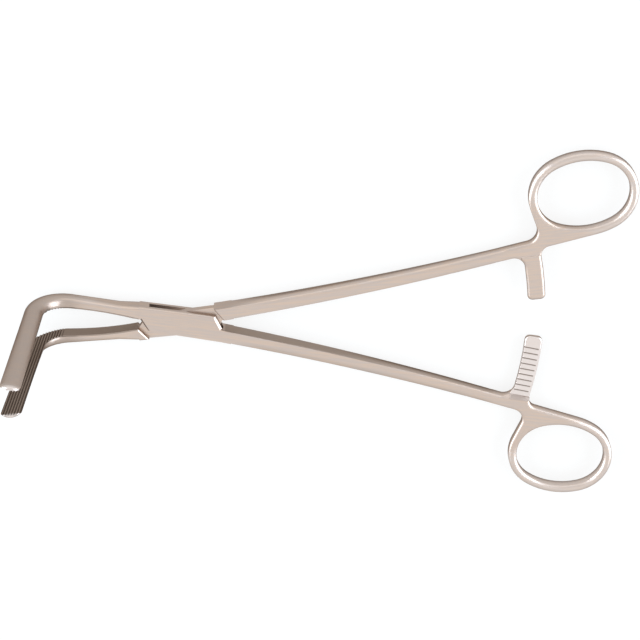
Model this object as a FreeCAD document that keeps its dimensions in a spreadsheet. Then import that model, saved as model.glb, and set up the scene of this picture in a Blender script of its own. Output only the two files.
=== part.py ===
"""Pedicle clamp with a box lock, ratchets and jaws bent up out of the plane of the rings.

Millimetres. Origin on the axis of the lock pin, at the flat underside of the box. +X runs
towards the finger rings, +Y towards the male half's ring and +Z along the pin, the way the
bent jaws point. Each half is drawn closed, in a frame of its own, and turned open to its
resting place. In a half's own frame, v counts away from the other half's shank.
"""
import FreeCAD
import Part
import math
import os
import Sketcher

VEC = FreeCAD.Vector

doc = FreeCAD.newDocument("PedicleClamp")
sheet = doc.addObject("Spreadsheet::Sheet", "Dims")

DIMENSIONS = {
    # Lock
    "rest_half_angle": 7.0,        # each half's turn from closed shanks to the resting place
    "joint_thickness": 6.1,        # box half and male half alike, across the pin
    "tongue_thickness": 2.3,
    "slot_clearance": 0.05,        # tongue to each cheek
    "box_side": 4.65,              # pin axis to the long side of the box
    "box_far_side": 4.1,           # the same at the jaw end of the shank's side
    "shoulder_jaw_in": 16.9,       # where the jaw's full thickness begins, at the mating line
    "shoulder_jaw_out": 13.4,      # the same at the long side
    "shoulder_shank_in": 14.13,
    "shoulder_shank_out": 11.17,
    "box_end_gap": 0.7,            # cheek end to the male shoulder, along the clamp, when closed
    "tongue_gap": 0.4,             # tongue edge to the end of the slot
    "pin_radius": 1.6,
    "pin_clearance": 0.04,
    "cheek_bevel": 0.8,
    "shoulder_bevel": 0.4,
    "joint_round": 0.8,            # long edges on the jaw's side
    # Shank, along an arc from beside the box to the neck
    "shank_root_x": 16.0,
    "shank_root_y": 2.84,
    "shank_root_width": 4.65,
    "shank_root_round": 0.4,
    "shank_end_ahead": 10.3,       # of the ratchet arms' middle
    "shank_end_y": 14.95,
    "shank_width": 4.1,
    "shank_bow": 1.15,
    "shank_lap": 1.5,              # how far neck and joint reach over the shank's ends
    "shank_inset": 0.03,           # of the shank's faces behind theirs
    # Finger ring
    "ring_past_arm": 18.44,        # ring's middle past the ratchet arms' middle
    "ring_y": 35.14,
    "ring_tilt": 2.4,
    "hole_half_length": 16.39,
    "hole_half_width": 12.81,
    "hole_end_tuck": 0.95,         # half the width less the radius of the rounder ends
    "ring_wire": 3.0,
    "ring_thickness": 4.8,
    "ring_round": 1.2,
    # Neck between shank, ring and ratchet arm
    "neck_corner_run": 13.6,
    "neck_fillet": 4.6,
    "neck_under_run": 9.8,
    "neck_under_past": 1.2,        # past the ratchet arms' middle
    "neck_under_y": 16.0,
    # Ratchet
    "arm_radius": 126.3,           # middle of the arms, from the pin axis
    "arm_width": 6.4,
    "male_arm_reach": 3.7,         # past the clamp's middle line when closed
    "box_arm_reach": 11.3,
    "arm_inner_fillet": 4.0,
    "arm_outer_fillet": 3.4,
    "arm_tip_round": 1.8,
    "arm_edge_round": 0.6,         # along the toothed face
    "ratchet_plane": 0.25,         # middle of the gap between the teeth, above mid-thickness
    "ratchet_gap": 0.1,
    "ratchet_step": 13.9,          # where the slope down to the toothed face begins
    "ratchet_step_run": 1.2,
    "tooth_depth": 0.85,
    "tooth_pitch": 2.2,
    "tooth_skew": -4.0,            # of the teeth's lines to the clamp's middle line
    "box_tooth_first": 6.9,        # first tooth's steep side, past the middle line
    "male_tooth_first": 1.6,
    "box_tooth_count": 9.0,
    "male_tooth_count": 3.0,
    # Jaws
    "toe_in": 2.2,
    "jaw_lean": 3.0,
    "arm_slope": 2.9,
    "arm_height": 5.9,             # beside the elbow
    "elbow_start_x": 41.5,
    "elbow_middle_radius": 11.5,
    "jaw_height": 62.5,            # jaw tip above the middle of the box's thickness
    "jaw_width": 7.1,
    "jaw_root_width": 6.6,
    "jaw_tip_round": 2.6,
    "arm_root_inset": 0.05,        # of the arm's faces behind those of the joint
    "arm_waist_x": 24.0,
    "arm_waist_back": 3.8,
    "arm_waist_round": 1.5,
    "arm_end_back": 4.1,           # thickness where the elbow begins
    "jaw_root_back": 3.4,          # and where it ends in the upright jaw
    "arm_end_round": 2.5,
    "jaw_root_round": 2.9,
    "jaw_tip_back": 1.7,
    "jaw_tip_thinning": 0.45,      # share of its thickness that the tip's end loses
    "bow_depth": 0.8,
    "bow_start": 17.5,
    "bow_end": 45.5,
    # Serrations
    "ridge_pitch": 0.95,
    "ridge_depth": 0.35,
    "groove_count": 14.0,
    "slack": 1.5,                  # how far cutting profiles reach past the material
}


class Size:
    """A length that carries both its number and the expression that ties it to the sheet."""

    def __init__(self, value, text):
        self.value = value
        self.text = text

    @staticmethod
    def of(other):
        return other if isinstance(other, Size) else Size(float(other), repr(float(other)))

    def __add__(self, other):
        other = Size.of(other)
        return Size(self.value + other.value, f"({self.text} + {other.text})")

    def __sub__(self, other):
        other = Size.of(other)
        return Size(self.value - other.value, f"({self.text} - {other.text})")

    def __mul__(self, other):
        other = Size.of(other)
        return Size(self.value * other.value, f"({self.text} * {other.text})")

    def __truediv__(self, other):
        other = Size.of(other)
        return Size(self.value / other.value, f"({self.text} / {other.text})")

    def __radd__(self, other):
        return Size.of(other) + self

    def __rsub__(self, other):
        return Size.of(other) - self

    def __rmul__(self, other):
        return Size.of(other) * self

    def __neg__(self):
        return Size(-self.value, f"(-1 * {self.text})")


def root(size):
    return Size(math.sqrt(size.value), f"sqrt({size.text})")


def sine(angle):
    return Size(math.sin(math.radians(angle.value)), f"sin({angle.text} * 1 deg)")


def cosine(angle):
    return Size(math.cos(math.radians(angle.value)), f"cos({angle.text} * 1 deg)")


def tangent(angle):
    return sine(angle) / cosine(angle)


for row, (name, number) in enumerate(DIMENSIONS.items(), start=1):
    sheet.set(f"A{row}", name)
    sheet.set(f"B{row}", str(number))
    sheet.setAlias(f"B{row}", name)
doc.recompute()


def size(name):
    return Size(float(sheet.get(name)), f"Dims.{name}")


half_thickness = size("joint_thickness") / 2


def plane(body, role):
    for feature in body.Origin.OriginFeatures:
        if getattr(feature, "Role", "") == role:
            return feature
    raise LookupError(role)


def sketch(body, name, role, at=None, turn=None):
    """A sketch on an origin plane; at is its place and turn its rotation, in the plane's axes."""
    made = body.newObject("Sketcher::SketchObject", name)
    made.AttachmentSupport = (plane(body, role), [""])
    made.MapMode = "FlatFace"
    if at is not None or turn is not None:
        x, y, z = (Size.of(part).text for part in (at or (0.0, 0.0, 0.0)))
        made.setExpression(
            "AttachmentOffset", f"placement(vector({x}; {y}; {z}); {turn or 'rotationz(0)'})")
    doc.recompute()
    return made


def arc_between(start, end, radius):
    """Minor arc from start to end; a positive radius turns to the left on the way."""
    chord = end - start
    across = VEC(-chord.y, chord.x, 0).normalize()
    rise = math.sqrt(radius * radius - chord.Length ** 2 / 4)
    centre = (start + end) * 0.5 + across * math.copysign(rise, radius)
    first, last = (start, end) if radius > 0 else (end, start)
    angles = [math.atan2(p.y - centre.y, p.x - centre.x) for p in (first, last)]
    if angles[1] < angles[0]:
        angles[1] += 2 * math.pi
    circle = Part.Circle(centre, VEC(0, 0, 1), abs(radius))
    return Part.ArcOfCircle(circle, angles[0], angles[1])


def outline(drawing, corners, closed=True):
    """Profile through corners of (x, y) or (x, y, radius of the arc that follows)."""
    corners = [(*map(Size.of, c[:2]), Size.of(c[2]) if len(c) > 2 else None) for c in corners]
    points = [VEC(x.value, y.value, 0) for x, y, _ in corners]
    ends = []
    for index in range(len(corners) if closed else len(corners) - 1):
        radius = corners[index][2]
        start, end = points[index], points[(index + 1) % len(points)]
        if radius is None:
            geometry = drawing.addGeometry(Part.LineSegment(start, end), False)
            ends.append((geometry, 1, 2))
        else:
            geometry = drawing.addGeometry(arc_between(start, end, radius.value), False)
            ends.append((geometry, 1, 2) if radius.value > 0 else (geometry, 2, 1))
    for index, (x, y, radius) in enumerate(corners):
        if index < len(ends):
            geometry, vertex = ends[index][:2]
            if closed or index > 0:
                before, _, last = ends[index - 1]
                drawing.addConstraint(
                    Sketcher.Constraint("Coincident", before, last, geometry, vertex))
        else:
            geometry, _, vertex = ends[-1]
        for kind, length in (("DistanceX", x), ("DistanceY", y)):
            made = drawing.addConstraint(
                Sketcher.Constraint(kind, -1, 1, geometry, vertex, length.value))
            drawing.setExpression(f"Constraints[{made}]", length.text)
        if radius is not None:
            made = drawing.addConstraint(Sketcher.Constraint("Radius", geometry, abs(radius.value)))
            drawing.setExpression(f"Constraints[{made}]", f"abs({radius.text})")
    doc.recompute()


def swept(body, kind, name, drawing, length, both_ways=True, reverse=False):
    """A Pad or a Pocket of a sketch."""
    made = body.newObject(f"PartDesign::{kind}", name)
    made.Profile = drawing
    made.SideType = "Symmetric" if both_ways else "One side"
    made.Reversed = reverse
    made.setExpression("Length", Size.of(length).text)
    doc.recompute()
    return made


def piped(body, name, path, sections):
    """An AdditivePipe along a path of one edge, from one section to another."""
    made = body.newObject("PartDesign::AdditivePipe", name)
    made.Profile = sections[0]
    made.Spine = (path, ["Edge1"])
    made.Sections = [(section, [""]) for section in sections[1:]]
    made.Transformation = "Multisection"
    made.Mode = "Frenet"
    doc.recompute()
    return made


def lofted(body, name, sections, ruled=True):
    """An AdditiveLoft, with straight or smooth lines between its sections."""
    made = body.newObject("PartDesign::AdditiveLoft", name)
    made.Profile = sections[0]
    made.Sections = [(section, [""]) for section in sections[1:]]
    made.Ruled = ruled
    doc.recompute()
    return made


def rounded(body, name, base, edges, radius):
    """A Fillet of edges of the feature before it."""
    made = body.newObject("PartDesign::Fillet", name)
    made.Base = (base, [f"Edge{number}" for number in edges])
    made.setExpression("Radius", radius.text)
    doc.recompute()
    return made


def corner_edges(feature, places, reach=1.0):
    """Numbers of the edges along Z that stand near the given places in the plan."""
    found = []
    for number, edge in enumerate(feature.Shape.Edges, start=1):
        first, last = edge.Vertexes[0].Point, edge.Vertexes[-1].Point
        if abs(first.x - last.x) + abs(first.y - last.y) > 0.01 or (first - last).Length < 1.0:
            continue
        if any(math.hypot(first.x - x, first.y - y) < reach for x, y in places):
            found.append(number)
    return found


def rim_edges(feature, level):
    """Numbers of the edges that lie wholly at the given heights above and below the middle."""
    found = []
    for number, edge in enumerate(feature.Shape.Edges, start=1):
        box = edge.BoundBox
        if box.ZLength < 0.001 and abs(abs(box.ZMin) - level) < 0.001:
            found.append(number)
    return found


def lies_at(edge, level):
    """Whether an edge lies wholly at one height."""
    box = edge.BoundBox
    return box.ZLength < 0.001 and abs(box.ZMin - level) < 0.001


def tangent_point(point, centre, radius, turn):
    """Where a line from point touches a circle; turn +1 or -1 chooses the side."""
    x, y = point[0] - centre[0], point[1] - centre[1]
    square = x * x + y * y
    rest = root(square - radius * radius)
    return (centre[0] + radius * (radius * x - turn * rest * y) / square,
            centre[1] + radius * (radius * y + turn * rest * x) / square)


class Ring:
    """The finger ring's oval: four tangent arcs about its middle, tilted in the plan."""

    def __init__(self, grow):
        tight = size("hole_half_width") - size("hole_end_tuck")
        self.end = tight + grow
        self.run = size("hole_half_length") - tight
        width = size("hole_half_width") + grow
        self.flank = ((self.run * self.run + width * width - self.end * self.end)
                      / (2 * (width - self.end)))
        self.drop = self.flank - width

    def place(self, x, y):
        turn = size("ring_tilt")
        middle = size("arm_radius") + size("ring_past_arm")
        return (middle + x * cosine(turn) - y * sine(turn),
                size("ring_y") + x * sine(turn) + y * cosine(turn))

    def touch(self, right, up):
        """Where a flank and an end meet, on the line through both centres."""
        share = self.flank / (self.flank - self.end)
        return self.place(right * self.run * share, up * (self.drop * share - self.drop))


def shank_ends():
    """Middle, direction and half widths of the shank beside the box and at the neck."""
    start = (size("shank_root_x"), size("shank_root_y"))
    end = (size("arm_radius") - size("shank_end_ahead"), size("shank_end_y"))
    x, y = end[0] - start[0], end[1] - start[1]
    length = root(x * x + y * y)
    bow = size("shank_bow")
    radius = length * length / (8 * bow) + bow / 2
    half_turn = length / (2 * radius)
    straight = root(1 - half_turn * half_turn)
    along = (x / length, y / length)
    turned = []
    for sign in (-1.0, 1.0):
        turned.append((along[0] * straight - sign * along[1] * half_turn,
                       along[1] * straight + sign * along[0] * half_turn))
    return start, end, turned[0], turned[1], radius


def shank_corner(middle, direction, width, side_sign, run=0.0):
    """A point beside the shank's middle line, half a width off, and run further along."""
    off = width / 2 * side_sign
    return (middle[0] - direction[1] * off + direction[0] * run,
            middle[1] + direction[0] * off + direction[1] * run)


def neck_and_ring(body, side, reach):
    """Plan of the neck and ring, with the ratchet arm, rounded along every rim."""
    _, end, _, direction, _ = shank_ends()
    width = size("shank_width")
    ring = Ring(size("ring_wire"))
    lap = size("shank_lap")
    inner = shank_corner(end, direction, width, -1.0, -lap)
    under = shank_corner(end, direction, width, -1.0, size("neck_under_run"))
    outer = shank_corner(end, direction, width, 1.0, -lap)
    corner = shank_corner(end, direction, width, 1.0, size("neck_corner_run"))
    below = (size("arm_radius") + size("neck_under_past"), size("neck_under_y"))
    low_flank = ring.place(Size.of(0.0), ring.drop)
    left_end = ring.place(-ring.run, Size.of(0.0))
    touch_low = tangent_point(below, low_flank, ring.flank, 1.0)
    touch_left = tangent_point(corner, left_end, ring.end, -1.0)

    plan = sketch(body, "HandlePlan", "XY_Plane")
    corners = [
        inner, under, below,
        (*touch_low, ring.flank), (*ring.touch(1.0, -1.0), ring.end),
        (*ring.touch(1.0, 1.0), ring.flank), (*ring.touch(-1.0, 1.0), ring.end),
        touch_left, corner, outer]
    outline(plan, [(c[0], c[1] * side, *(r * side for r in c[2:])) for c in corners])
    swept(body, "Pad", "Handle", plan, size("ring_thickness"))

    arm_plan = sketch(body, "RatchetArmPlan", "XY_Plane")
    inside = size("arm_radius") - size("arm_width") / 2
    outside = size("arm_radius") + size("arm_width") / 2
    start = size("neck_under_y") + 1.2

    def at(radius, away):
        return root(radius * radius - away * away), away * side

    outline(arm_plan, [
        at(inside, -reach), (*at(outside, -reach), outside * side),
        at(outside, start), (*at(inside, start), -inside * side)])
    arm = swept(body, "Pad", "RatchetArm", arm_plan, size("ring_thickness"))

    neck = rounded(body, "NeckCorner", arm, corner_edges(
        arm, [(corner[0].value, corner[1].value * side)]), size("neck_fillet"))
    crook = rounded(body, "ArmInnerCorner", neck, corner_edges(
        neck, [(inside.value - 0.7, (inner[1].value + 1.0) * side)], 1.5),
        size("arm_inner_fillet"))
    crutch = rounded(body, "ArmOuterCorner", crook, corner_edges(
        crook, [(outside.value - 1.0, (below[1].value + 0.3) * side)], 1.5),
        size("arm_outer_fillet"))
    tips = [tuple(part.value for part in at(radius, -reach)) for radius in (inside, outside)]
    rounded(body, "ArmTip", crutch, corner_edges(crutch, tips), size("arm_tip_round"))

    hole_plan = sketch(body, "HolePlan", "XY_Plane")
    hole = Ring(Size.of(0.0))
    outline(hole_plan, [
        (hole.touch(right, up)[0], hole.touch(right, up)[1] * side, radius * side)
        for right, up, radius in (
            (1.0, 1.0, hole.flank), (-1.0, 1.0, hole.end),
            (-1.0, -1.0, hole.flank), (1.0, -1.0, hole.end))])
    holed = swept(body, "Pocket", "FingerHole", hole_plan, 2 * size("ring_thickness"))
    rims = [number for number in rim_edges(holed, size("ring_thickness").value / 2)
            if not at_shank_end(holed.Shape.Edges[number - 1], inner, outer, side)]
    return rounded(body, "Rims", holed, rims, size("ring_round"))


def at_shank_end(edge, inner, outer, side):
    """Whether an edge lies on the end face where the shank joins the neck."""
    middle = edge.valueAt((edge.FirstParameter + edge.LastParameter) / 2)
    x = (inner[0].value + outer[0].value) / 2
    y = (inner[1].value + outer[1].value) / 2 * side
    return math.hypot(middle.x - x, middle.y - y) < 0.5


def shank(body, side):
    """Shank swept along its arc, from a squared root to a rounded end."""
    start, end, first, last, radius = shank_ends()
    path = sketch(body, "ShankPath", "XY_Plane")
    outline(path, [(start[0], start[1] * side, radius * side), (end[0], end[1] * side)],
            closed=False)
    sections = []
    for name, middle, direction, width, height, corner in (
            ("ShankRoot", start, first, "shank_root_width", "joint_thickness", "shank_root_round"),
            ("ShankEnd", end, last, "shank_width", "ring_thickness", "ring_round")):
        swing = f"atan({(direction[1] / direction[0] * side).text})"
        section = sketch(body, name, "YZ_Plane", at=(middle[1] * side, Size.of(0.0), middle[0]),
                         turn=f"rotationy({swing})")
        inset = size("shank_inset")
        rounded_box(section, size(width) / 2 - inset, size(height) / 2 - inset, size(corner))
        sections.append(section)
    return piped(body, "Shank", path, sections)


def rounded_box(drawing, wide, high, corner):
    outline(drawing, [
        (-wide + corner, -high), (wide - corner, -high, corner),
        (wide, -high + corner), (wide, high - corner, corner),
        (wide - corner, high), (-wide + corner, high, corner),
        (-wide, high - corner), (-wide, -high + corner, corner)])


def joint_blank(body, side, end_gap):
    """Plan of the joint at its full thickness, before the slot or the tongue is cut."""
    wide = size("box_side")
    start, _, first, _, _ = shank_ends()
    root_width = size("shank_root_width")
    lower_end = size("shoulder_shank_out") - end_gap
    lap = size("shank_lap")
    stub = size("shank_root_x") - size("shoulder_shank_in") + end_gap
    plan = sketch(body, "JointPlan", "XY_Plane")
    corners = [
        (-size("shoulder_jaw_in"), -wide), (lower_end, -wide),
        shank_corner(start, first, root_width, -1.0, -stub),
        shank_corner(start, first, root_width, -1.0, lap),
        shank_corner(start, first, root_width, 1.0, lap),
        shank_corner(start, first, root_width, 1.0, -stub),
        (-(size("shoulder_jaw_out") - end_gap), size("box_far_side")),
        (-(size("shoulder_jaw_in") - end_gap), Size.of(0.0)),
        (-size("shoulder_jaw_in"), Size.of(0.0))]
    outline(plan, [(c[0], c[1] * side) for c in corners])
    joint = swept(body, "Pad", "Joint", plan, size("joint_thickness"))
    long_edges = [number for number, edge in enumerate(joint.Shape.Edges, start=1)
                  if (lies_at(edge, half_thickness.value) or lies_at(edge, -half_thickness.value))
                  and abs(edge.BoundBox.YMin + wide.value * side) < 0.001
                  and edge.BoundBox.YLength < 0.001]
    return rounded(body, "JointLongEdges", joint, long_edges, size("joint_round"))


def end_bevels(body, side, jaw_way, gap, width):
    """Bevel the joint's two slanting ends, front and back, from the middle line outwards."""
    wide = size("box_side")
    ends = [("Jaw", -size("shoulder_jaw_in") + gap, -size("shoulder_jaw_out") + gap, jaw_way),
            ("Shank", size("shoulder_shank_in") - gap, size("shoulder_shank_out") - gap,
             -jaw_way)]
    high, past = half_thickness, width / 2
    for name, inner, outer, way in ends:
        run, rise = outer - inner, wide * side * way
        length = root(run * run + rise * rise)
        turn = f"rotationy(atan2({rise.text}; {run.text}))"
        wedge = sketch(body, f"{name}BevelPlan", "YZ_Plane",
                       at=(Size.of(0.0), Size.of(0.0), inner), turn=turn)
        for sign in (1, -1):
            outline(wedge, [(x * side, y * sign) for x, y in (
                (-width - past, high + past), (past, high - width - past),
                (past, high + past))])
        swept(body, "Pocket", f"{name}Bevel", wedge, length + past, both_ways=False, reverse=True)


def jaw_line():
    """Places of the jaw's middle line in its side view: root, bend, foot and tip of the upright."""
    slope, lean, bend = size("arm_slope"), size("jaw_lean"), size("elbow_middle_radius")
    root_x, bend_x = size("shoulder_jaw_in"), size("elbow_start_x")
    bend_z = -(bend_x - root_x) * tangent(slope)
    foot = (-bend_x - bend * sine(slope) - bend * cosine(lean),
            bend_z + bend * cosine(slope) - bend * sine(lean))
    height = (size("jaw_height") - foot[1]) / cosine(lean)
    tip = (foot[0] - height * sine(lean), foot[1] + height * cosine(lean))
    return (-root_x, Size.of(0.0)), (-bend_x, bend_z), foot, tip


def jaw_section(body, side, name, place, angle, share=1.0):
    """A sketch square to the jaw's line, turned by a share of the toe-in."""
    swing = size("toe_in") * side * share
    at = (place[1] * sine(swing), place[1] * cosine(swing), place[0])
    return sketch(body, name, "YZ_Plane", at=at,
                  turn=f"rotationz({(-swing).text}) * rotationx({angle})")


def jaw(body, side):
    """Arm, elbow and upright jaw, flat towards the other jaw and rounded behind."""
    root_place, bend_place, foot, tip = jaw_line()
    level = (-size("arm_slope")).text
    steep = f"90 - {size('jaw_lean').text}"

    def section(name, place, angle, toe_share, width, thick, run, rise, inset=0.0):
        """A flat face with a curve on each side of a flat back."""
        drawing = jaw_section(body, side, name, place, angle, toe_share)
        half_width = width / 2
        radius = (run * run + rise * rise) / (2 * rise)
        outline(drawing, [(c[0] * side, c[1], *(r * side for r in c[2:])) for c in [
            (-Size.of(inset), -half_width), (-Size.of(inset), half_width),
            (-thick + rise, half_width, radius), (-thick, half_width - run),
            (-thick, -half_width + run, radius), (-thick + rise, -half_width)]])
        return drawing

    share = (size("arm_waist_x") + root_place[0]) / (root_place[0] - bend_place[0])
    waist_height = size("joint_thickness") - (
        size("joint_thickness") - size("arm_height")) * share
    waist = (-size("arm_waist_x"), bend_place[1] * share)
    whole = Size.of(1.0)
    inset = size("arm_root_inset")
    arm_root = section("ArmRoot", (root_place[0] + 2.0, root_place[1]), "0", Size.of(0.0),
                       size("joint_thickness") - inset * 2, size("box_side") - inset,
                       size("joint_round"), size("joint_round"), inset)
    arm_waist = section("ArmWaist", waist, level, share, waist_height, size("arm_waist_back"),
                        size("arm_waist_round"), size("arm_waist_round"))
    arm_end = section("ArmEnd", bend_place, level, whole, size("arm_height"),
                      size("arm_end_back"), size("arm_end_round"), size("arm_end_round"))
    jaw_foot = section("JawFoot", foot, steep, whole, size("jaw_root_width"),
                       size("jaw_root_back"), size("jaw_root_round"), size("jaw_root_round"))

    caps = []
    lean, turn, thick = size("jaw_lean"), size("jaw_tip_round"), size("jaw_tip_back")
    for number, angle in enumerate((0.0, 35.0, 62.0, 84.0)):
        left, inset = math.sin(math.radians(angle)), 1 - math.cos(math.radians(angle))
        below = turn * (1 - left)
        place = (tip[0] + below * sine(lean), tip[1] - below * cosine(lean))
        width = size("jaw_width") - 2 * turn * inset
        back = thick * (1 - inset * size("jaw_tip_thinning"))
        caps.append(section(f"JawTip{number}", place, steep, whole, width, back,
                            width * 0.45, back * 0.7))

    toe = f"rotationx({(size('toe_in') * -side).text})"
    path = sketch(body, "ElbowPath", "XZ_Plane", turn=toe)
    outline(path, [(*bend_place, -size("elbow_middle_radius")), foot], closed=False)
    lofted(body, "Arm", [arm_root, arm_waist, arm_end])
    piped(body, "Elbow", path, [arm_end, jaw_foot])
    lofted(body, "Jaw", [jaw_foot, caps[0]])
    lofted(body, "JawTip", caps, ruled=False)

    bow = sketch(body, "BowPlan", "XY_Plane", turn=toe)
    start, end, depth = size("bow_start"), size("bow_end"), size("bow_depth")
    chord = end - start
    radius = chord * chord / (8 * depth) + depth / 2
    outline(bow, [(-start, Size.of(0.0), -radius * side), (-end, Size.of(0.0)),
                  (-end, size("slack") * side), (-start, size("slack") * side)])
    return swept(body, "Pocket", "Bow", bow, 3 * size("joint_thickness"))


def serrations(body, side, shift):
    """Ridges along the gripping face: one groove, repeated across the jaw."""
    foot, tip = jaw_line()[2:]
    groove = jaw_section(body, side, "GroovePlan", tip, f"90 - {size('jaw_lean').text}")
    pitch, depth = size("ridge_pitch"), size("ridge_depth")
    first = -size("jaw_width") / 2 + pitch * shift
    slack = size("slack")
    outline(groove, [(c[0] * side, c[1]) for c in [
        (-depth, first), (slack, first + pitch / 2 * (1 + slack / depth)),
        (slack, first - pitch / 2 * (1 + slack / depth))]])
    cut = swept(body, "Pocket", "Groove", groove, 4 * size("jaw_height"))
    rows = body.newObject("PartDesign::LinearPattern", "Grooves")
    rows.Originals = [cut]
    rows.Direction = (groove, ["V_Axis"])
    rows.setExpression("Length", (pitch * (size("groove_count") - 1)).text)
    rows.setExpression("Occurrences", "Dims.groove_count")
    body.Tip = rows
    doc.recompute()
    return rows


def lock_region(body, side, name):
    """Plan of everything between the four shoulders, where slot or tongue is cut."""
    past = size("box_side") + size("slack")
    share = past / size("box_side")
    jaw_in, jaw_run = size("shoulder_jaw_in"), size("shoulder_jaw_in") - size("shoulder_jaw_out")
    shank_in = size("shoulder_shank_in")
    shank_run = shank_in - size("shoulder_shank_out")
    region = sketch(body, name, "XY_Plane")
    corners = [
        (-jaw_in, Size.of(0.0)), (-jaw_in + jaw_run * share, -past),
        (shank_in + shank_run * share, -past), (shank_in - shank_run * share, past),
        (-jaw_in - jaw_run, past)]
    outline(region, [(c[0], c[1] * side) for c in corners])
    return region


def upper_layer(body, name, drawing, bottom, sign):
    """A Pocket of everything beyond a level, above it for sign +1 or below it for -1."""
    made = body.newObject("PartDesign::Pocket", name)
    made.Profile = drawing
    made.SideType = "One side"
    made.Reversed = sign > 0
    made.setExpression("Length", (size("joint_thickness") * 2).text)
    drawing.setExpression("AttachmentOffset", f"placement(vector(0; 0; {bottom.text}); rotationz(0))")
    doc.recompute()
    return made


def ratchet(body, side, sign, reach, first_tooth, teeth):
    """Half-thickness arm with teeth; sign +1 where the toothed face looks up."""
    face = size("ratchet_plane") - size("ratchet_gap") / 2 * sign
    at, skew = (Size.of(0.0), Size.of(0.0), size("arm_radius")), "rotationy(Dims.tooth_skew)"
    far, top = reach + size("slack"), size("ring_thickness") * sign
    step, low_step = size("ratchet_step"), size("ratchet_step") - size("ratchet_step_run")
    cut_down = sketch(body, "RatchetStep", "YZ_Plane", at=at)
    outline(cut_down, [(c[0] * side, c[1]) for c in [
        (-far, face), (low_step, face), (step, size("ring_thickness") / 2 * sign),
        (step, top), (-far, top)]])
    stepped = swept(body, "Pocket", "RatchetFace", cut_down, size("arm_width") * 2.2)
    sides = [number for number, edge in enumerate(stepped.Shape.Edges, start=1)
             if lies_at(edge, face.value) and edge.BoundBox.XMin > size("arm_radius").value - 7
             and edge.BoundBox.YLength > 0.5]
    bevelled = rounded(body, "RatchetSides", stepped, sides, size("arm_edge_round"))

    pitch, depth, slack = size("tooth_pitch"), size("tooth_depth"), size("slack")
    notch = sketch(body, "ToothPlan", "YZ_Plane", at=at, turn=skew)
    low, high = -first_tooth, -first_tooth + pitch
    outline(notch, [(c[0] * side, c[1]) for c in [
        (low, face - depth * sign), (high, face),
        (high, face + slack * sign), (low, face + slack * sign)]])
    cut = swept(body, "Pocket", "Tooth", notch, size("arm_width") * 2)
    rows = body.newObject("PartDesign::LinearPattern", "Teeth")
    rows.Originals = [cut]
    rows.Direction = (notch, ["H_Axis"])
    rows.Reversed = side < 0
    rows.setExpression("Length", (pitch * (teeth - 1)).text)
    rows.setExpression("Occurrences", teeth.text)
    body.Tip = rows
    doc.recompute()
    return rows


def bore(body, radius):
    """The hole for the lock pin."""
    plan = sketch(body, "BorePlan", "XY_Plane")
    circle = plan.addGeometry(Part.Circle(VEC(0, 0, 0), VEC(0, 0, 1), radius.value), False)
    plan.addConstraint(Sketcher.Constraint("Coincident", circle, 3, -1, 1))
    made = plan.addConstraint(Sketcher.Constraint("Radius", circle, radius.value))
    plan.setExpression(f"Constraints[{made}]", radius.text)
    doc.recompute()
    return swept(body, "Pocket", "Bore", plan, 2 * size("joint_thickness"))


def half(name, side, first_tooth, teeth, reach, gap):
    """What both halves share; side is +1 where the shank lies towards +Y."""
    body = doc.addObject("PartDesign::Body", name)
    body.Label = name
    neck_and_ring(body, side, reach)
    ratchet(body, side, -side, reach, first_tooth, teeth)
    shank(body, side)
    joint_blank(body, side, gap)
    jaw(body, side)
    return body


def settle(body, side):
    """Turn a finished half to its resting angle and stand the joint on the ground plane."""
    lift = size("joint_thickness") / 2
    turn = size("rest_half_angle") * side
    body.setExpression(
        "Placement", f"placement(vector(0; 0; {lift.text}); rotationz({turn.text}))")
    doc.recompute()


# Box half: shank towards -Y, a slot between two cheeks
box = half("box_half", -1.0, size("box_tooth_first"), size("box_tooth_count"),
           size("box_arm_reach"), size("box_end_gap"))
slot = lock_region(box, -1.0, "SlotPlan")
swept(box, "Pocket", "Slot", slot, size("tongue_thickness") + 2 * size("slot_clearance"))
end_bevels(box, -1.0, 1.0, size("box_end_gap"), size("cheek_bevel"))
serrations(box, -1.0, 0.5)
bore(box, size("pin_radius"))
settle(box, -1.0)

# Male half: shank towards +Y, a tongue in the slot
male = half("male_half", 1.0, size("male_tooth_first"), size("male_tooth_count"),
            size("male_arm_reach"), size("tongue_gap"))
for label, sign in (("TongueTop", 1), ("TongueBottom", -1)):
    region = lock_region(male, 1.0, label + "Plan")
    upper_layer(male, label, region, size("tongue_thickness") / 2 * sign, sign)
end_bevels(male, 1.0, -1.0, Size.of(0.0), size("shoulder_bevel"))
serrations(male, 1.0, 0.0)
bore(male, size("pin_radius") + size("pin_clearance"))
settle(male, 1.0)

# Lock pin: riveted flush in both cheeks, the tongue turns on it
pin = doc.addObject("PartDesign::Body", "lock_pin")
pin.Label = "lock_pin"
pin_plan = sketch(pin, "PinPlan", "XY_Plane")
pin_circle = pin_plan.addGeometry(
    Part.Circle(VEC(0, 0, 0), VEC(0, 0, 1), size("pin_radius").value), False)
pin_plan.addConstraint(Sketcher.Constraint("Coincident", pin_circle, 3, -1, 1))
pin_size = pin_plan.addConstraint(
    Sketcher.Constraint("Radius", pin_circle, size("pin_radius").value))
pin_plan.setExpression(f"Constraints[{pin_size}]", "Dims.pin_radius")
doc.recompute()
swept(pin, "Pad", "PinShaft", pin_plan, size("joint_thickness"))
settle(pin, 0.0)

doc.recompute()
for item in doc.Objects:
    if "Invalid" in item.State or "Error" in item.State:
        raise RuntimeError(f"{item.Name} did not build: {item.State}")
for body in (box, male, pin):
    if body.Shape.isNull() or not body.Shape.isValid() or len(body.Shape.Solids) != 1:
        raise RuntimeError(f"{body.Label} is not one valid solid")
    body.Shape.exportStep(f"parts/{body.Label}.step")
    print(body.Label, round(body.Shape.Volume, 1), body.Shape.BoundBox)
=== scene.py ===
import math

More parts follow.
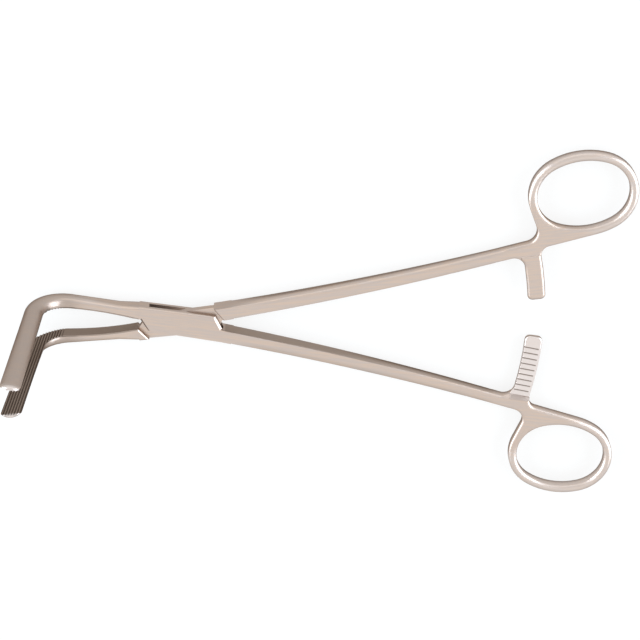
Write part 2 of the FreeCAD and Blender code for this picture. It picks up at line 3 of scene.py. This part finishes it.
import bpy
from mathutils import Euler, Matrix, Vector

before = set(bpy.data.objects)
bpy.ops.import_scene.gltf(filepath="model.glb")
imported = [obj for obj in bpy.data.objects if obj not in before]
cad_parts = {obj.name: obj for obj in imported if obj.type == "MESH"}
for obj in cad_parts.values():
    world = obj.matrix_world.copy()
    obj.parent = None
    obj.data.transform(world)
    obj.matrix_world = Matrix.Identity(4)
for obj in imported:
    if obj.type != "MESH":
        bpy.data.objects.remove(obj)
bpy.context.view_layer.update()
bpy.ops.object.select_all(action="DESELECT")

# Box half: a stainless steel forging with the lower ring, the slotted box and one jaw. It is
# ground along its length and satined and its gripping face is cut into ridges. Its colour holds
# painted shade on the jaw, the jaw's back, the gripping face, the ridges' bottoms, the shank's
# inner wall and the teeth's roots, and painted highlights on the ring's wire, the jaw's tip and
# the toothed face of its ratchet arm.


class Socket:
    """A shader socket that adds Math nodes when it stands in a sum."""

    def __init__(self, tree, output):
        self.tree = tree
        self.output = output

    def __add__(self, other):
        return self.tree.maths("ADD", self, other)

    def __radd__(self, other):
        return self.tree.maths("ADD", other, self)

    def __sub__(self, other):
        return self.tree.maths("SUBTRACT", self, other)

    def __rsub__(self, other):
        return self.tree.maths("SUBTRACT", other, self)

    def __mul__(self, other):
        return self.tree.maths("MULTIPLY", self, other)

    def __rmul__(self, other):
        return self.tree.maths("MULTIPLY", other, self)

    def __truediv__(self, other):
        return self.tree.maths("DIVIDE", self, other)


class Finish:
    """The nodes of a material or of the world."""

    def __init__(self, owner):
        self.owner = owner
        owner.use_nodes = True
        self.nodes = owner.node_tree.nodes
        self.links = owner.node_tree.links
        self.surface = self.nodes.get("Principled BSDF", self.nodes.get("Background"))

    def node(self, kind, settings=None, **inputs):
        """Add a node, set it up, and give its sockets their values or links."""
        made = self.nodes.new(kind)
        for key, value in (settings or {}).items():
            setattr(made, key, value)
        for key, value in inputs.items():
            numbered = key[0] == "n" and key[1:].isdigit()
            socket = made.inputs[int(key[1:]) if numbered else key.replace("_", " ")]
            self.feed(socket, value)
        return made

    def feed(self, socket, value):
        if isinstance(value, Socket):
            self.links.new(value.output, socket)
        else:
            socket.default_value = value

    def maths(self, operation, first, second=0.0):
        made = self.node("ShaderNodeMath", {"operation": operation}, n0=first, n1=second)
        return Socket(self, made.outputs[0])

    def between(self, value, low, high):
        """0 at low, 1 at high and smooth in between; low may be the greater."""
        made = self.node("ShaderNodeMapRange", {"interpolation_type": "SMOOTHSTEP"},
                         Value=value, From_Min=low, From_Max=high)
        return Socket(self, made.outputs["Result"])

    def blend(self, factor, first, second):
        made = self.node("ShaderNodeMix", {"data_type": "RGBA"}, n0=factor, n6=first, n7=second)
        return Socket(self, made.outputs[2])

    def place(self, turn=0.0, stretch=(1.0, 1.0, 1.0)):
        """Object coordinates in millimetres, turned about Z and then stretched."""
        coordinates = self.node("ShaderNodeTexCoord")
        turned = self.node("ShaderNodeMapping", Rotation=(0.0, 0.0, math.radians(turn)),
                           Scale=(1000.0, 1000.0, 1000.0),
                           Vector=Socket(self, coordinates.outputs["Object"]))
        made = self.node("ShaderNodeVectorMath", {"operation": "MULTIPLY"},
                         n0=Socket(self, turned.outputs["Vector"]), n1=stretch)
        return Socket(self, made.outputs["Vector"])

    def parts(self, vector):
        made = self.node("ShaderNodeSeparateXYZ", Vector=vector)
        return [Socket(self, made.outputs[axis]) for axis in range(3)]

    def noise(self, vector, scale, detail, roughness=0.5):
        made = self.node("ShaderNodeTexNoise", Vector=vector, Scale=scale, Detail=detail,
                         Roughness=roughness)
        return Socket(self, made.outputs[0])


STREAK_STRETCH = (0.07, 1.5, 1.1)       # long along the half, fine across it


def satin(finish, turn):
    """Fine grain all over, long streaks from the grinding belt and a faint mottle."""
    grain = finish.noise(finish.place(), 2.6, 2.0)
    streaks = finish.noise(finish.place(turn, STREAK_STRETCH), 1.0, 4.0, 0.6)
    mottle = finish.noise(finish.place(), 0.22, 4.0, 0.55)
    return grain, streaks, mottle


STEEL = (0.570, 0.460, 0.385, 1.0)
STEEL_COOL = (0.520, 0.445, 0.400, 1.0)
EDGE_TINT = (0.20, 0.16, 0.14, 1.0)
SATIN_ROUGHNESS = 0.36
STREAK_ROUGHNESS = 0.12


def bare_steel(finish, colour, roughness):
    finish.feed(finish.surface.inputs["Base Color"], colour)
    finish.feed(finish.surface.inputs["Roughness"], roughness)
    finish.surface.inputs["Metallic"].default_value = 1.0
    finish.surface.inputs["Specular Tint"].default_value = EDGE_TINT


def dress(piece, material):
    piece.data.materials.clear()
    piece.data.materials.append(material)


# Places on a half are in millimetres: along it towards the ring, outward towards its own ring's
# side, and height above the middle of its thickness. A mask is 0 at the first number of its
# pair and 1 at the second.
TOE_IN = 2.2                            # degrees that the jaw leans inward
BOW_START, BOW_END, BOW_DEPTH = 17.5, 45.5, 0.8
JAW_SIDE = (-16.3, -16.9)
MATING_DEPTH = (0.55, 0.45)
GROOVE_DEPTH = (0.08, 0.26)
RIDGES_START = (-38.0, -40.0)
ELBOW_START = (-34.0, -44.0)
JAW_FOOT = (2.0, 9.0)
BACK_DEPTH = (3.4, 6.4)
BACK_START = (-17.0, -26.0)
TIP_HEIGHT = (60.9, 62.0)


def jaw_masks(finish, along, outward, height):
    """The mating face, the bottoms of its grooves, the jaw with its elbow, the back and the tip."""
    share = finish.maths("MINIMUM", finish.maths(
        "MAXIMUM", (-1.0 * along - BOW_START) / (BOW_END - BOW_START), 0.0), 1.0)
    bow = share * (1.0 - share) * (4.0 * BOW_DEPTH)
    depth = height * math.tan(math.radians(TOE_IN)) - outward - bow
    mating = finish.between(depth, *MATING_DEPTH) * finish.between(along, *JAW_SIDE)
    grooves = mating * finish.between(depth, *GROOVE_DEPTH) * (
        finish.between(along, *RIDGES_START))
    jaw = finish.maths("MAXIMUM", finish.between(height, *JAW_FOOT),
                       finish.between(along, *ELBOW_START))
    back = finish.between(depth, *BACK_DEPTH) * finish.between(along, *BACK_START)
    return mating, grooves, jaw, back, finish.between(height, *TIP_HEIGHT)


SHANK_START, SHANK_END = (16.0, 2.84), (116.0, 14.95)
SHANK_BOW = 1.15
SHANK_START_WIDTH, SHANK_END_WIDTH = 4.65, 4.1
SHANK_SLANT = 0.9925                    # square across the shank for 1 mm across the half
SHANK_NEAR, SHANK_FAR = (14.0, 15.0), (118.0, 112.0)
WALL_DEPTH = (0.22, 0.12)


def shank_masks(finish, along, outward):
    """The shank, its wall that faces the other half, and the distance from its middle line."""
    share = (along - SHANK_START[0]) / (SHANK_END[0] - SHANK_START[0])
    middle = SHANK_START[1] + share * (SHANK_END[1] - SHANK_START[1]) - (
        share * (1.0 - share) * (4.0 * SHANK_BOW))
    off_middle = (outward - middle) * SHANK_SLANT
    half_width = (SHANK_START_WIDTH - share * (SHANK_START_WIDTH - SHANK_END_WIDTH)) / 2.0
    on_shank = finish.between(along, *SHANK_NEAR) * finish.between(along, *SHANK_FAR)
    inner_wall = on_shank * finish.between(off_middle + half_width, *WALL_DEPTH)
    return on_shank, inner_wall, off_middle


RING_MIDDLE = (144.74, 35.14)
RING_TILT = math.radians(2.4)
RING_RUN, RING_END = 4.53, 13.36        # the end arcs' centres and radius
RING_DROP, RING_FLANK = 10.33, 24.64    # the flank arcs' centres and radius
ARC_CHANGE = (-0.01, 0.01)
WIRE_BAND = (2.3, 1.9)
NECK_FADE = (13.5, 7.5)                 # from the ring's middle towards the neck


def ring_mask(finish, along, outward):
    """The finger ring's wire apart from the flat neck, and the distance from its middle line."""
    x, y = along - RING_MIDDLE[0], outward - RING_MIDDLE[1]
    right = finish.maths("ABSOLUTE", x * math.cos(RING_TILT) + y * math.sin(RING_TILT))
    up = finish.maths("ABSOLUTE", y * math.cos(RING_TILT) - x * math.sin(RING_TILT))
    past_run, to_drop = right - RING_RUN, up + RING_DROP
    from_end = finish.maths("SQRT", past_run * past_run + up * up) - RING_END
    from_flank = finish.maths("SQRT", right * right + to_drop * to_drop) - RING_FLANK
    at_end = finish.between(past_run * RING_DROP - up * RING_RUN, *ARC_CHANGE)
    off_wire = from_flank + (from_end - from_flank) * at_end
    on_wire = finish.between(finish.maths("ABSOLUTE", off_wire), *WIRE_BAND) * (
        finish.between(x * -0.6 - y * 0.8, *NECK_FADE))
    return on_wire, off_wire


ARM_RADIUS = 126.3
ARM_BAND = (4.1, 3.9)
ARM_FOOT = (13.9, 13.8)
TOOTHED_PLANE = 0.25                    # between the two halves' teeth
TOOTH_CLEARANCE = 0.05
TOOTH_DEPTH = (1.0, 0.85)
ROOT_DEPTH = (0.50, 0.64)
ROOTS_NEAR, ROOTS_FAR = (-3.2, -3.0), (2.6, 2.3)
FIRST_ROOT = (12.4, 12.2)


def ratchet_masks(finish, along, outward, height, facing):
    """The ratchet arm, its toothed face, which looks up for facing 1, and the teeth's roots."""
    off_arc = finish.maths("SQRT", along * along + outward * outward) - ARM_RADIUS
    on_arm = finish.between(finish.maths("ABSOLUTE", off_arc), *ARM_BAND) * (
        finish.between(outward, *ARM_FOOT))
    sunk = TOOTHED_PLANE * facing - TOOTH_CLEARANCE - height * facing
    toothed = on_arm * finish.between(sunk, *TOOTH_DEPTH)
    roots = toothed * finish.between(sunk, *ROOT_DEPTH) * (
        finish.between(off_arc, *ROOTS_NEAR) * finish.between(off_arc, *ROOTS_FAR)) * (
        finish.between(outward, *FIRST_ROOT))
    return on_arm, toothed, roots


GRAIN_RELIEF, STREAK_RELIEF = 0.004, 0.010
BELLY_ROUNDING, BELLY_START = -0.10, (15.0, 34.0)
SIDE_ROUNDING, SIDE_START = -0.11, (14.0, 40.0)
WALL_ROUNDING_START = (90.0, 50.0)
WIRE_ROUNDING = -0.16
MILLIMETRE = 0.001

REST_HALF_ANGLE = 7.0
MID_THICKNESS = 3.05
STREAK_COLOURS = (0.40, 0.60)
MOTTLE_ROUGHNESS = 0.06
MATING_ROUGHNESS = 0.05
# Painted shade: the jaw's colour is darkened all over, standing in for the dim surroundings it
# reflects.
JAW_PAINTED_SHADE = (0.360, 0.295, 0.255, 1.0)
# Painted highlight: the ring's wire is lightened and cooled, standing in for broad highlights.
RING_PAINTED_SHEEN = (0.640, 0.580, 0.545, 1.0)
# Painted highlight: the jaw's tip and the ratchet arm's toothed face are lightened.
PAINTED_HIGHLIGHT = (0.690, 0.625, 0.590, 1.0)
# Painted shade on the jaw's back, the gripping face and the shank's inner wall.
SHADED_STEEL = (0.310, 0.250, 0.210, 1.0)
# Painted shade in the bottoms of the gripping face's grooves.
GROOVE_PAINTED_SHADE = (0.090, 0.068, 0.055, 1.0)
# Painted shade in the roots of the ratchet teeth.
ROOT_PAINTED_SHADE = (0.160, 0.120, 0.095, 1.0)


def forged_half(name, side, facing):
    """The finish of one half: its ring lies towards +Y for side 1, its teeth up for facing 1."""
    finish = Finish(bpy.data.materials.new(name))
    turn = -REST_HALF_ANGLE * side
    along, across, height = finish.parts(finish.place(turn))
    outward = across * side
    height = height - MID_THICKNESS
    grain, streaks, mottle = satin(finish, turn)
    mating, grooves, jaw, back, tip = jaw_masks(finish, along, outward, height)
    on_shank, inner_wall, off_middle = shank_masks(finish, along, outward)
    on_wire, off_wire = ring_mask(finish, along, outward)
    on_arm, toothed, roots = ratchet_masks(finish, along, outward, height, facing)

    steel = finish.blend(finish.between(streaks, *STREAK_COLOURS), STEEL, STEEL_COOL)
    # Painted shade darkens the jaw, its back, the gripping face, its grooves, the shank's inner
    # wall and the teeth's roots; painted highlights lighten the ring's wire, the jaw's tip and the
    # toothed face.
    for mask, share, colour in (
            (jaw, 0.60, JAW_PAINTED_SHADE), (back, 0.65, SHADED_STEEL), (on_wire, 0.40, RING_PAINTED_SHEEN),
            (mating, 0.92, SHADED_STEEL), (grooves, 0.72, GROOVE_PAINTED_SHADE),
            (tip, 0.75, PAINTED_HIGHLIGHT), (inner_wall, 0.65, SHADED_STEEL),
            (toothed, 0.90, PAINTED_HIGHLIGHT), (roots, 0.85, ROOT_PAINTED_SHADE)):
        steel = finish.blend(mask * share, steel, colour)
    bare_steel(finish, steel, SATIN_ROUGHNESS + (streaks - 0.5) * STREAK_ROUGHNESS + (
        mottle - 0.5) * MOTTLE_ROUGHNESS + mating * MATING_ROUGHNESS)

    outer = finish.maths("MAXIMUM", off_middle, 0.0)
    belly = outer * outer * finish.between(along, *BELLY_START) * on_shank * BELLY_ROUNDING
    sides = height * height * (finish.between(along, *SIDE_START) * SIDE_ROUNDING) * (
        1.0 - inner_wall * finish.between(along, *WALL_ROUNDING_START)) * (1.0 - on_arm)
    wire = off_wire * off_wire * on_wire * WIRE_ROUNDING
    bump = finish.node("ShaderNodeBump", Strength=1.0, Distance=MILLIMETRE, Height=(
        grain * GRAIN_RELIEF + streaks * STREAK_RELIEF + belly + sides + wire))
    finish.feed(finish.surface.inputs["Normal"], Socket(finish, bump.outputs["Normal"]))
    return finish.owner


dress(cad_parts["box_half"], forged_half("box half steel", side=-1.0, facing=1.0))

# Male half: the matching forging with the upper ring, the thin tongue that turns in the box and
# the other jaw. Its toothed face looks down onto the box half's.
# Its colour holds the same painted shade and painted highlights as the box half's.
dress(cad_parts["male_half"], forged_half("male half steel", side=1.0, facing=-1.0))

# Lock pin: a plain steel pin, riveted in both cheeks and ground flush and satined with them,
# so that its end hardly shows.
PIN_STREAK_COLOURS = (0.35, 0.65)
pin_finish = Finish(bpy.data.materials.new("lock pin steel"))
pin_streaks = satin(pin_finish, REST_HALF_ANGLE)[1]
pin_colour = pin_finish.blend(
    pin_finish.between(pin_streaks, *PIN_STREAK_COLOURS), STEEL, STEEL_COOL)
bare_steel(pin_finish, pin_colour, SATIN_ROUGHNESS + (pin_streaks - 0.5) * STREAK_ROUGHNESS)
dress(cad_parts["lock_pin"], pin_finish.owner)

# Floor: a plain white sheet that the clamp lies on. It glows to the camera and in the steel, and
# keeps a soft shadow near the clamp.
FLOOR_LEVEL = -0.00135
NEAR_GLOW = 0.78
FULL_GLOW_DISTANCE = (200.0, 700.0)


def seen_directly(finish):
    """1 for rays from the camera and for those that metal and glass send on."""
    rays = finish.node("ShaderNodeLightPath")
    camera, glossy, through = [Socket(finish, rays.outputs[name]) for name in (
        "Is Camera Ray", "Is Glossy Ray", "Is Transmission Ray")]
    return finish.maths("MAXIMUM", camera, finish.maths("MAXIMUM", glossy, through))


bpy.ops.mesh.primitive_plane_add(size=8.0, location=(0.05, 0.0, FLOOR_LEVEL))
floor = bpy.context.object
floor.name = "floor"
paper = Finish(bpy.data.materials.new("white floor"))
paper.surface.inputs["Base Color"].default_value = (0.86, 0.86, 0.855, 1.0)
paper.surface.inputs["Roughness"].default_value = 1.0
paper.surface.inputs["Specular IOR Level"].default_value = 0.0
glow = paper.node("ShaderNodeEmission", Color=(1.0, 1.0, 0.995, 1.0), Strength=1.0)
floor_x, floor_y, _ = paper.parts(paper.place())
distance = paper.maths("SQRT", floor_x * floor_x + floor_y * floor_y)
glow_share = NEAR_GLOW + paper.between(distance, *FULL_GLOW_DISTANCE) * (1.0 - NEAR_GLOW)
mixed = paper.node("ShaderNodeMixShader", Fac=seen_directly(paper) * glow_share,
                   n1=Socket(paper, paper.surface.outputs["BSDF"]),
                   n2=Socket(paper, glow.outputs["Emission"]))
paper.feed(paper.nodes["Material Output"].inputs["Surface"],
           Socket(paper, mixed.outputs["Shader"]))
floor.data.materials.append(paper.owner)

# Light: an even white room, a weak softbox overhead and in front, and a strong one at each side
# for the bright edges
ROOM_LIGHT = 0.74
SIDE_COLOUR = (0.78, 0.88, 1.0)
world = bpy.data.worlds.new("white room")
bpy.context.scene.world = world
room = Finish(world)
room.surface.inputs["Color"].default_value = (1.0, 1.0, 1.0, 1.0)
room.feed(room.surface.inputs["Strength"],
          ROOM_LIGHT + seen_directly(room) * (1.0 - ROOM_LIGHT))


def softbox(name, place, wide, high, glow, colour=(1.0, 1.0, 1.0)):
    """An area lamp aimed at the clamp; glow is its brightness seen in a mirror."""
    data = bpy.data.lights.new(name, "AREA")
    data.shape = "RECTANGLE"
    data.size = wide
    data.size_y = high
    data.energy = 4.0 * wide * high * glow
    data.color = colour
    made = bpy.data.objects.new(name, data)
    bpy.context.collection.objects.link(made)
    made.location = place
    aim = Vector((0.05, 0.0, 0.0)) - Vector(place)
    made.rotation_euler = aim.to_track_quat("-Z", "Y").to_euler()


softbox("overhead", (0.05, -0.60, 1.5), 1.6, 1.2, 0.12)
softbox("left", (-1.3, 0.10, 0.70), 1.9, 1.35, 2.6, SIDE_COLOUR)
softbox("right", (1.4, 0.10, 0.70), 1.9, 1.35, 2.6, SIDE_COLOUR)
softbox("front", (0.05, 1.6, 0.55), 1.6, 0.7, 0.5)

# Camera: the photograph's place, fitted to the finger rings and the box lock
SENSOR_WIDTH = 36.0
FOCAL_WIDTHS = 2131.148 / 640.0         # focal length over the picture's width
camera_data = bpy.data.cameras.new("camera")
camera = bpy.data.objects.new("camera", camera_data)
bpy.context.collection.objects.link(camera)
camera.location = (0.0213, 0.343252, 0.688509)
camera.rotation_euler = Euler([math.radians(angle) for angle in (-26.5438, -1.4285, 1.6884)])
camera_data.sensor_width = SENSOR_WIDTH
camera_data.lens = SENSOR_WIDTH * FOCAL_WIDTHS
camera_data.clip_start = 0.01
bpy.context.scene.camera = camera

bpy.context.scene.view_settings.view_transform = "Standard"
